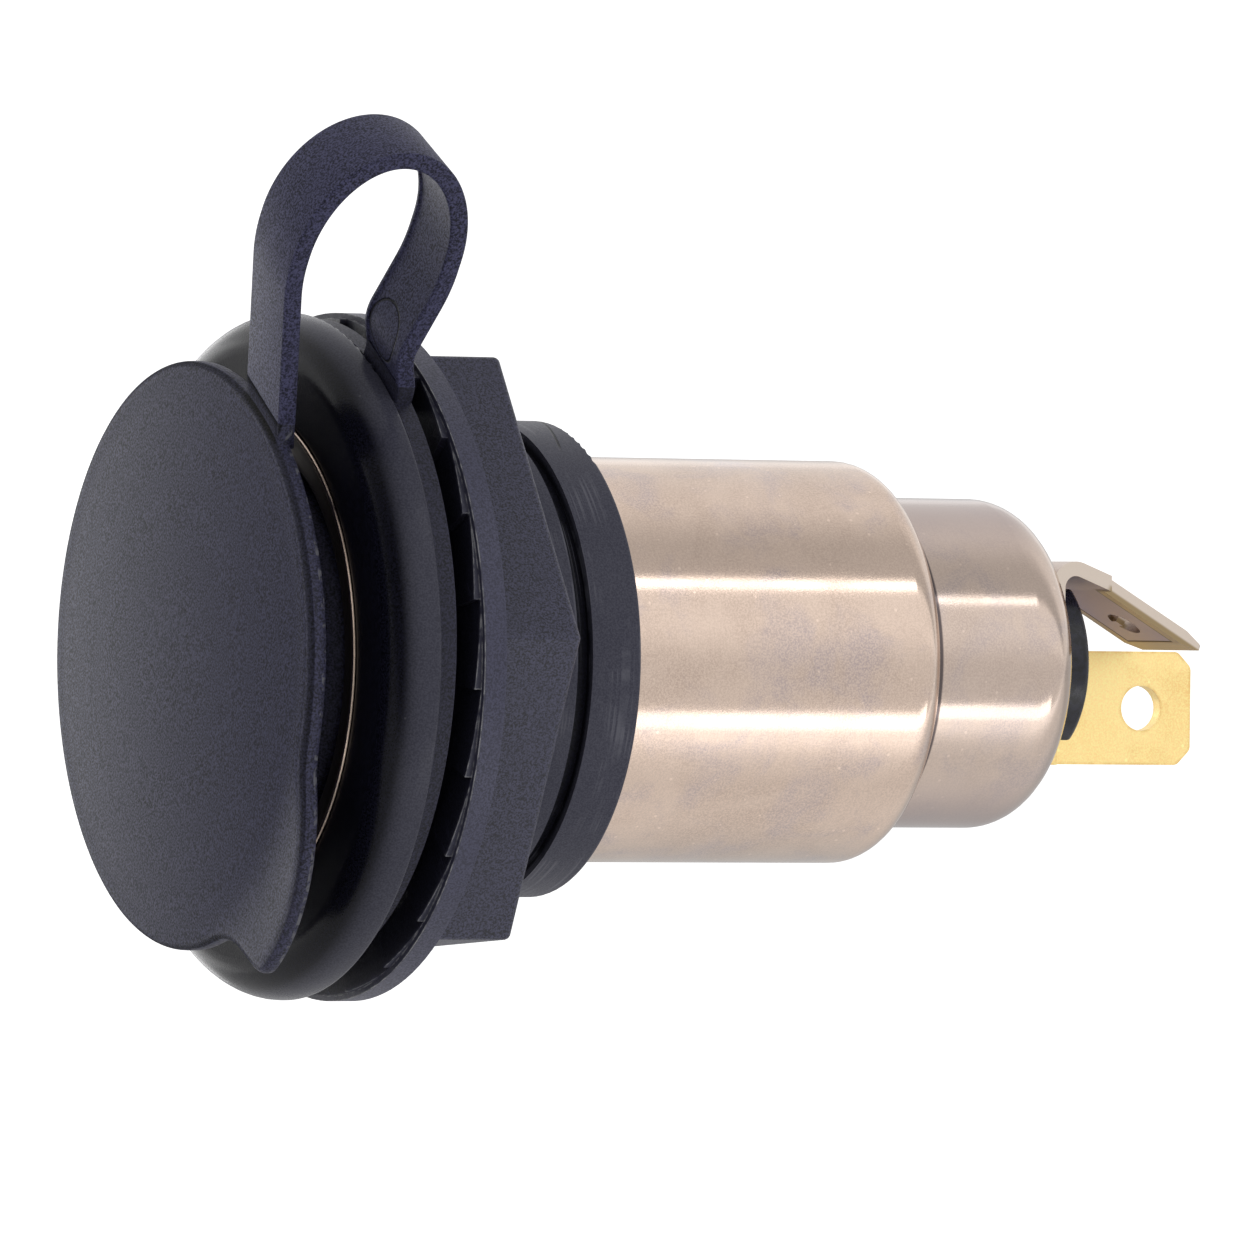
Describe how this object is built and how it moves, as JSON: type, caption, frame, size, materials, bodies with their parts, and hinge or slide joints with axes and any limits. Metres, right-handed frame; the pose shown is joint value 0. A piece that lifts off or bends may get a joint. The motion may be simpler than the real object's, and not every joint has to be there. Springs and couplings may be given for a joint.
{
  "type": "panel-mount power socket",
  "caption": "Panel-mount 12 volt power socket: a stepped metal can in a black flanged sleeve with a hexagon lock nut, spade terminals behind and a soft dust cap on a strap loop.",
  "frame": {"origin": "on the socket's axis, in the plane of the flange's back face, where the panel is clamped", "axes": "+X along the axis from the dust cap to the terminals, +Z towards the strap loop"},
  "size_m": [0.0661, 0.0372, 0.0524],
  "materials": {
    "sleeve_plastic": "moulded black plastic, satin",
    "nut_plastic": "moulded black plastic, fine matt grain",
    "soft_moulding": "soft black moulding, matt",
    "nickel_plate": "nickel-plated drawn steel, satin",
    "brass_sheet": "bare stamped brass",
    "insulator_plastic": "moulded black plastic, smooth",
    "fibre_washer": "pressed fibre board"
  },
  "bodies": {
    "socket": {"bezel_sleeve": "sleeve_plastic", "socket_can": "nickel_plate", "strap_ring": "soft_moulding", "cap_strap": "soft_moulding", "rear_insulator": "insulator_plastic", "inner_insulator": "fibre_washer", "centre_contact": "brass_sheet", "contact_rivet": "brass_sheet", "positive_terminal": "brass_sheet", "ground_terminal": "nickel_plate"},
    "cap": {"dust_cap": "soft_moulding"},
    "nut": {"lock_nut": "nut_plastic"}
  },
  "joints": [
    {"name": "cap_swing", "type": "hinge", "parent": "socket", "child": "cap", "pos_m": [-0.0017, 0, 0.037], "axis": [0, 1, 0], "range_deg": [0, 110], "stiffness_Nm_per_rad": 0.0008, "deforming": ["cap_strap"]},
    {"name": "nut_travel", "type": "slide", "parent": "socket", "child": "nut", "axis": [1, 0, 0], "range_m": [-0.00095, 0.0105]}
  ]
}
